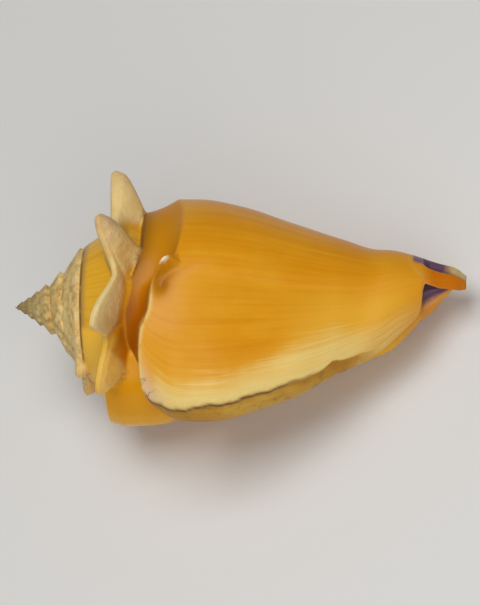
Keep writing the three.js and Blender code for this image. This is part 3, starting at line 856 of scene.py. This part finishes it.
class Nodes:
    """Short words for the shader nodes of one material."""

    def __init__(self, name):
        self.material = bpy.data.materials.new(name)
        self.material.use_nodes = True
        self.tree = self.material.node_tree
        self.shader = self.tree.nodes["Principled BSDF"]
        self.patterns = {}

    def add(self, kind, **settings):
        node = self.tree.nodes.new(kind)
        for name, value in settings.items():
            setattr(node, name, value)
        return node

    def feed(self, socket, value):
        if isinstance(value, bpy.types.NodeSocket):
            self.tree.links.new(value, socket)
        else:
            socket.default_value = value

    def set_finish(self, levels):
        for name, value in levels.items():
            self.shader.inputs[name].default_value = value

    def attribute(self, name):
        return self.add("ShaderNodeAttribute", attribute_name=name).outputs["Fac"]

    def mask(self, name):
        return self.attribute("mask_" + name)

    def math(self, operation, a, b=0.0, clamp=False):
        node = self.add("ShaderNodeMath", operation=operation, use_clamp=clamp)
        self.feed(node.inputs[0], a)
        self.feed(node.inputs[1], b)
        return node.outputs[0]

    def blend(self, share, a, b):
        node = self.add("ShaderNodeMix", data_type="RGBA")
        self.feed(node.inputs["Factor"], share)
        self.feed(node.inputs[6], a if isinstance(a, bpy.types.NodeSocket) else (*a, 1))
        self.feed(node.inputs[7], b if isinstance(b, bpy.types.NodeSocket) else (*b, 1))
        return node.outputs[2]

    def level(self, share, a, b):
        node = self.add("ShaderNodeMix", data_type="FLOAT")
        self.feed(node.inputs["Factor"], share)
        self.feed(node.inputs[2], a)
        self.feed(node.inputs[3], b)
        return node.outputs[0]

    def stretch(self, value, limits):
        """From 0 where a value is at the first limit to 1 where it is at the second."""
        node = self.add("ShaderNodeMapRange")
        self.feed(node.inputs["Value"], value)
        node.inputs["From Min"].default_value, node.inputs["From Max"].default_value = limits
        return node.outputs["Result"]

    def vector(self, x, y):
        node = self.add("ShaderNodeCombineXYZ")
        self.feed(node.inputs[0], x)
        self.feed(node.inputs[1], y)
        return node.outputs[0]

    def noise(self, place, scale, detail, roughness):
        node = self.add("ShaderNodeTexNoise")
        self.feed(node.inputs["Vector"], place)
        node.inputs["Scale"].default_value = scale
        node.inputs["Detail"].default_value = detail
        node.inputs["Roughness"].default_value = roughness
        return node.outputs["Fac"]

    def bump(self, height, strength, distance, before=None):
        node = self.add("ShaderNodeBump")
        node.inputs["Strength"].default_value = strength
        node.inputs["Distance"].default_value = distance
        self.feed(node.inputs["Height"], height)
        if before is not None:
            self.feed(node.inputs["Normal"], before)
        return node.outputs["Normal"]

    def pattern(self, name, limits):
        return self.stretch(self.patterns[name], limits)

    def lay(self, colour, name, above, strength=1):
        """Lay a colour over another where a mask shows, up to a strength."""
        return self.blend(self.math("MULTIPLY", self.mask(name), strength), colour, above)

    def speckle(self, colour, speckles):
        for name, limits, above, strength in speckles:
            share = self.math("MULTIPLY", self.pattern(name, limits), strength)
            colour = self.blend(share, colour, above)
        return colour


# Colours, as linear red, green and blue
AMBER = (0.8, 0.355, 0.008)
DEEP_AMBER = (0.72, 0.265, 0.002)
GOLDEN = (0.88, 0.47, 0.04)
CREAM = (0.84, 0.64, 0.27)
APEX_GREY = (0.23, 0.18, 0.075)
TAN = (0.46, 0.26, 0.075)
RAMP_YELLOW = (0.86, 0.52, 0.045)
RAMP_ORANGE = (0.8, 0.4, 0.02)
SPINE_BEIGE = (0.78, 0.51, 0.17)
SPINE_PALE = (0.9, 0.66, 0.28)
TIP_GREY = (0.68, 0.44, 0.22)
# Painted light laid on the spine ridges that face away from the lamps
RIDGE_PAINTED_LIGHT = (0.98, 0.76, 0.34)
FRONT_YELLOW = (0.95, 0.55, 0.06)
SHADE_BROWN = (0.26, 0.1, 0.001)
# Painted shade along the sutures
SUTURE_SHADE_BROWN = (0.2, 0.09, 0.018)
HOLLOW_ORANGE = (0.7, 0.235, 0.002)
GUTTER_AMBER = (0.62, 0.25, 0.002)
# Red of the deepest gutter and of the hollow past a spine, partly their own colour and partly painted
# shade
GUTTER_RED_AND_SHADE = (0.43, 0.125, 0)
CALLUS_ORANGE = (0.78, 0.34, 0.003)
CALLUS_YELLOW = (0.9, 0.48, 0.02)
# Pale colour of the lip's zone, also used for the painted highlight along its back edge
LIP_PALE_AND_HIGHLIGHT = (0.9, 0.67, 0.23)
CORNER_PINK = (0.78, 0.54, 0.32)
BAND_TAN = (0.46, 0.19, 0.006)
BAND_CREAM = (0.66, 0.37, 0.05)
CRACK_BROWN = (0.16, 0.05, 0.001)
DIRT_BROWN = (0.26, 0.12, 0.02)
LOBE_ORANGE = (0.58, 0.25, 0.02)
# Pale tip of the lip's knob, partly a painted highlight
KNOB_PALE_TIP_AND_HIGHLIGHT = (0.92, 0.82, 0.62)
# Painted shade in the dent below the lip's knob
KNOB_SHADE_BROWN = (0.4, 0.14, 0.002)
CANAL_ORANGE = (0.74, 0.28, 0.004)
PRONG_ORANGE = (0.6, 0.17, 0.001)
CANAL_CREAM = (0.8, 0.63, 0.27)
INSIDE_SALMON = (0.8, 0.36, 0.1)
CANAL_PURPLE = (0.2, 0.1, 0.17)
WORLD_WHITE = (1, 1, 1, 1)

# Patterns in space: repeats in a metre, finer layers and their share
SPACE_PATTERNS = {
    "cloud": (60, 3, 0.55),
    "speck": (420, 4, 0.55),
    "grain": (900, 5, 0.55),
    "spire_patches": (330, 4, 0.6),
    "spire_dirt": (700, 5, 0.65),
    "spine_patches": (240, 3, 0.6),
    "crazing": (260, 3, 0.5),
}

# Patterns along the coil: repeats in a degree of growth and in a mm of the axis, then the same
COIL_PATTERNS = {
    "lines": (0.32, 0.03, 5, 0.6),
    "fine_lines": (2.4, 0.09, 3, 0.6),
    "threads": (0.02, 1.6, 3, 0.5),
}

# Speckles over a plain colour: a pattern, the limits between which it comes in, colour and strength
BODY_SPECKLES = [
    ("lines", (0.3, 0.72), AMBER, 1),
    ("cloud", (0.45, 0.7), GOLDEN, 0.4),
    ("cloud", (0.45, 0.28), DEEP_AMBER, 0.5),
    ("fine_lines", (0.55, 0.8), GOLDEN, 0.25),
]
RAMP_SPECKLES = [
    ("lines", (0.4, 0.7), RAMP_YELLOW, 1),
]
SPIRE_SPECKLES = [
    ("spire_patches", (0.42, 0.62), SPINE_BEIGE, 1),
    ("spire_dirt", (0.47, 0.63), TAN, 0.75),
    ("axis", (9, 2), APEX_GREY, 0.8),
]
SPINE_SPECKLES = [
    ("speck", (0.42, 0.66), CREAM, 1),
    ("spine_patches", (0.5, 0.66), SPINE_PALE, 0.7),
]
CALLUS_SPECKLES = [
    ("cloud", (0.45, 0.7), CALLUS_YELLOW, 1),
]
BAND_SPECKLES = [
    ("cloud", (0.42, 0.62), BAND_CREAM, 1),
    ("speck", (0.55, 0.7), DIRT_BROWN, 0.6),
    ("fine_lines", (0.5, 0.68), DIRT_BROWN, 0.5),
]

# Limits of the patterns that break up a single colour
LOBE_STREAKS = (0.4, 0.62)
TIP_PATCHES = (0.62, 0.4)
BROKEN_LINE = (0.3, 0.5)
CRACK_LINE = (0.15, 0.35)
WORN_GRAINS = (0.4, 0.7)
WORN_STRENGTH = 0.4

# Thin cracks run where their pattern is this near its middle
PATTERN_MIDDLE = 0.5
CRAZING_LIMITS = (0.014, 0.003)

# Both kinds of growth lines streak the pale zone
STREAKS_BY_LINES = 0.9
STREAKS_BY_FINE_LINES = 1.1
PALE_STREAKS = (0.28, 1)

# Strength of the colours laid over the body, the ramp and the spire
GOLDEN_STRENGTH = 0.75
PALE_GOLDEN_STRENGTH = 0.9
CORNER_STRENGTH = 0.9
RAMP_EDGE_STRENGTH = 0.8
CORD_STRENGTH = 0.7

# Roughness of the body, of chalky parts and of parts with their own finish
BODY_ROUGHNESS = (0.28, 0.42)
CHALK_ROUGHNESS = (0.5, 0.8)
SPINE_CHALK = 0.8
ROUGHNESS = [("callus", 0.2), ("gutter", 0.45), ("band", 0.55)]

# Bumps: pattern, where it shows, strength and depth in metres
BUMPS = [
    ("fine_lines", "bare", 0.1, 0.0003),
    ("threads", "bare", 0.06, 0.0003),
    ("grain", "chalky", 0.6, 0.0003),
    ("speck", "chalky", 0.6, 0.0006),
]

# The rest of the finish, the same all over
SHELL_FINISH = {
    "Specular IOR Level": 0.18,
    "Coat Weight": 0.05,
    "Coat Roughness": 0.2,
    "Subsurface Weight": 0.06,
    "Subsurface Scale": 0.002,
}
FLOOR_FINISH = {
    "Base Color": (0.8, 0.79, 0.77, 1),
    "Roughness": 0.9,
    "Specular IOR Level": 0.1,
}


def add_patterns(nodes):
    """Every pattern by its name, and as one of them the place along the axis in mm."""
    place = nodes.add("ShaderNodeTexCoord").outputs["Object"]
    growth = nodes.attribute("growth")
    axis = nodes.attribute("axis_x")
    nodes.patterns["axis"] = axis
    for name, (scale, detail, roughness) in SPACE_PATTERNS.items():
        nodes.patterns[name] = nodes.noise(place, scale, detail, roughness)
    for name, (by_growth, by_axis, detail, roughness) in COIL_PATTERNS.items():
        around = nodes.math("MULTIPLY", growth, by_growth)
        along = nodes.math("MULTIPLY", axis, by_axis)
        nodes.patterns[name] = nodes.noise(nodes.vector(around, along), 1, detail, roughness)


def body_colour(nodes):
    """Glossy amber with soft growth lines, golden and then pale in streaks towards the lip."""
    colour = nodes.speckle(DEEP_AMBER, BODY_SPECKLES)
    colour = nodes.lay(colour, "golden", GOLDEN, GOLDEN_STRENGTH)
    colour = nodes.lay(colour, "pale", GOLDEN, PALE_GOLDEN_STRENGTH)
    by_lines = nodes.math("MULTIPLY", nodes.patterns["lines"], STREAKS_BY_LINES)
    by_fine_lines = nodes.math("MULTIPLY", nodes.patterns["fine_lines"], STREAKS_BY_FINE_LINES)
    streaks = nodes.math("SUBTRACT", nodes.math("ADD", by_lines, by_fine_lines), 1)
    pale = nodes.stretch(nodes.math("ADD", nodes.mask("pale"), streaks), PALE_STREAKS)
    colour = nodes.blend(pale, colour, LIP_PALE_AND_HIGHLIGHT)
    colour = nodes.lay(colour, "lobe", LOBE_ORANGE, nodes.pattern("fine_lines", LOBE_STREAKS))
    return nodes.lay(colour, "corner", CORNER_PINK, CORNER_STRENGTH)


def ramp_colour(nodes):
    """Yellow and orange ramps of the last whorls, tan along their sutures."""
    colour = nodes.speckle(RAMP_ORANGE, RAMP_SPECKLES)
    return nodes.lay(colour, "ramp_edge", TAN, RAMP_EDGE_STRENGTH)


def spire_colour(nodes):
    """Worn cream whorls with tan dirt in the hollows and a grey apex."""
    colour = nodes.speckle(CREAM, SPIRE_SPECKLES)
    return nodes.lay(colour, "cord", SPINE_PALE, CORD_STRENGTH)


def spine_colour(nodes):
    """Chalky beige spines with paler and greyer patches."""
    colour = nodes.speckle(SPINE_BEIGE, SPINE_SPECKLES)
    return nodes.lay(colour, "tip", TIP_GREY, nodes.pattern("spine_patches", TIP_PATCHES))


def crazing(nodes):
    """Thin branching cracks, where a pattern passes its middle."""
    off_middle = nodes.math("SUBTRACT", nodes.patterns["crazing"], PATTERN_MIDDLE)
    return nodes.stretch(nodes.math("ABSOLUTE", off_middle), CRAZING_LIMITS)


def shell_colour(nodes):
    """The body's colour with every other one laid over it in turn: mask, colour and strength."""
    broken = nodes.pattern("speck", BROKEN_LINE)
    worn = nodes.math("MULTIPLY", nodes.pattern("grain", WORN_GRAINS), WORN_STRENGTH)
    layers = [
        ("gutter", GUTTER_AMBER, 1),
        # Darker red in the deepest gutter, partly its own glaze and partly painted shade
        ("deep", GUTTER_RED_AND_SHADE, 1),
        ("shade", SHADE_BROWN, 0.75),
        ("ramp", ramp_colour(nodes), 1),
        ("hollow", HOLLOW_ORANGE, 1),
        ("spire", spire_colour(nodes), 1),
        ("callus", nodes.speckle(CALLUS_ORANGE, CALLUS_SPECKLES), 1),
        ("spine", spine_colour(nodes), 1),
        # Painted light on the spine ridges
        ("bright", RIDGE_PAINTED_LIGHT, 0.85),
        # Darker red in the hollow past a spine, partly its own colour and partly painted shade
        ("under", GUTTER_RED_AND_SHADE, 0.8),
        ("front", FRONT_YELLOW, 0.85),
        # Painted shade along the sutures
        ("suture", SUTURE_SHADE_BROWN, broken),
        # Painted shade in the dent below the lip's knob
        ("knob_brown", KNOB_SHADE_BROWN, 1),
        # Pale tip of the lip's knob, partly a painted highlight
        ("knob_white", KNOB_PALE_TIP_AND_HIGHLIGHT, 1),
        # Painted highlight along the lip's back edge
        ("edge_light", LIP_PALE_AND_HIGHLIGHT, broken),
        ("canal", CANAL_ORANGE, 0.8),
        ("prong", PRONG_ORANGE, 1),
        ("band", nodes.speckle(BAND_TAN, BAND_SPECKLES), 1),
        ("worn", DIRT_BROWN, worn),
        ("crack", CRACK_BROWN, nodes.pattern("speck", CRACK_LINE)),
        ("crazed", CRACK_BROWN, crazing(nodes)),
        ("inside", INSIDE_SALMON, 1),
        ("purple", CANAL_PURPLE, 1),
        ("cream_tip", CANAL_CREAM, 1),
    ]
    colour = body_colour(nodes)
    for name, above, strength in layers:
        colour = nodes.lay(colour, name, above, strength)
    return colour


def shell_roughness(nodes, chalky):
    body = nodes.level(nodes.patterns["lines"], *BODY_ROUGHNESS)
    chalk = nodes.level(nodes.patterns["speck"], *CHALK_ROUGHNESS)
    rough = nodes.level(chalky, body, chalk)
    for name, value in ROUGHNESS:
        rough = nodes.level(nodes.mask(name), rough, value)
    return rough


def shell_relief(nodes, chalky):
    """Lines and threads where the shell isn't glazed, and grains on its chalky parts."""
    glazed = nodes.math("MAXIMUM", nodes.mask("inside"), nodes.mask("callus"))
    shares = {"bare": nodes.math("SUBTRACT", 1, glazed, clamp=True), "chalky": chalky}
    relief = None
    for name, where, strength, depth in BUMPS:
        height = nodes.math("MULTIPLY", nodes.patterns[name], shares[where])
        relief = nodes.bump(height, strength, depth, relief)
    return relief


def shell_material():
    nodes = Nodes("shell")
    add_patterns(nodes)
    chalky_spines = nodes.math("MULTIPLY", nodes.mask("spine"), SPINE_CHALK)
    chalky = nodes.math("MAXIMUM", nodes.mask("spire"), chalky_spines)
    nodes.feed(nodes.shader.inputs["Base Color"], shell_colour(nodes))
    nodes.feed(nodes.shader.inputs["Roughness"], shell_roughness(nodes, chalky))
    nodes.feed(nodes.shader.inputs["Normal"], shell_relief(nodes, chalky))
    nodes.set_finish(SHELL_FINISH)
    return nodes.material


def floor_material():
    nodes = Nodes("pale_floor")
    nodes.set_finish(FLOOR_FINISH)
    return nodes.material


def view_axes():
    """The photograph's right, up and towards directions, in the scene."""
    lift, turn, roll = (math.radians(v) for v in (VIEW_LIFT, VIEW_TURN, VIEW_ROLL))
    towards = Vector((math.sin(turn) * math.cos(lift), -math.cos(turn) * math.cos(lift), math.sin(lift)))
    right = Vector((math.cos(turn), math.sin(turn), 0))
    up = towards.cross(right)
    rolled_right = right * math.cos(roll) + up * math.sin(roll)
    rolled_up = up * math.cos(roll) - right * math.sin(roll)
    turned = rest_turn().to_3x3()
    return turned @ rolled_right, turned @ rolled_up, turned @ towards


def add_camera():
    right, up, towards = view_axes()
    across = (PHOTO_WIDTH / 2 - APEX_PIXEL[0]) / PIXELS_PER_MM
    above = (APEX_PIXEL[1] - PHOTO_HEIGHT / 2) / PIXELS_PER_MM
    middle = apex_place() + (right * across + up * above) * MM
    data = bpy.data.cameras.new("photo_camera")
    data.sensor_fit = "HORIZONTAL"
    data.sensor_width = SENSOR_WIDTH
    data.lens = SENSOR_WIDTH * CAMERA_DISTANCE * PIXELS_PER_MM / PHOTO_WIDTH
    data.dof.use_dof = False
    data.clip_start = NEAREST_SEEN
    camera = bpy.data.objects.new("photo_camera", data)
    turn = Matrix((right, up, towards)).transposed()
    camera.matrix_world = Matrix.Translation(middle + towards * CAMERA_DISTANCE * MM) @ turn.to_4x4()
    bpy.context.scene.collection.objects.link(camera)
    bpy.context.scene.camera = camera


def add_light(name, direction, size, power):
    """A soft square light that looks at the shell."""
    right, up, towards = view_axes()
    way = (right * direction[0] + up * direction[1] + towards * direction[2]).normalized()
    data = bpy.data.lights.new(name, "AREA")
    data.shape = "SQUARE"
    data.size = size
    data.energy = power
    light = bpy.data.objects.new(name, data)
    light.location = Vector(LIGHT_TARGET) + way * LIGHT_DISTANCE
    light.rotation_euler = way.to_track_quat("Z", "Y").to_euler()
    bpy.context.scene.collection.objects.link(light)


def add_studio():
    bpy.ops.mesh.primitive_plane_add(size=FLOOR_SIZE, location=(0, 0, 0))
    floor = bpy.context.active_object
    floor.name = "floor"
    floor.data.materials.append(floor_material())
    world = bpy.data.worlds.new("studio")
    bpy.context.scene.world = world
    world.use_nodes = True
    background = world.node_tree.nodes["Background"]
    background.inputs["Color"].default_value = WORLD_WHITE
    background.inputs["Strength"].default_value = WORLD_LIGHT
    for light in LIGHTS:
        add_light(*light)
    bpy.context.scene.view_settings.view_transform = "Standard"


shell = bpy.data.objects.new("conch_shell_skin", shell_mesh())
bpy.context.scene.collection.objects.link(shell)
shell.data.materials.append(shell_material())
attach(shell, "root")
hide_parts("conch_shell")
add_studio()
add_camera()
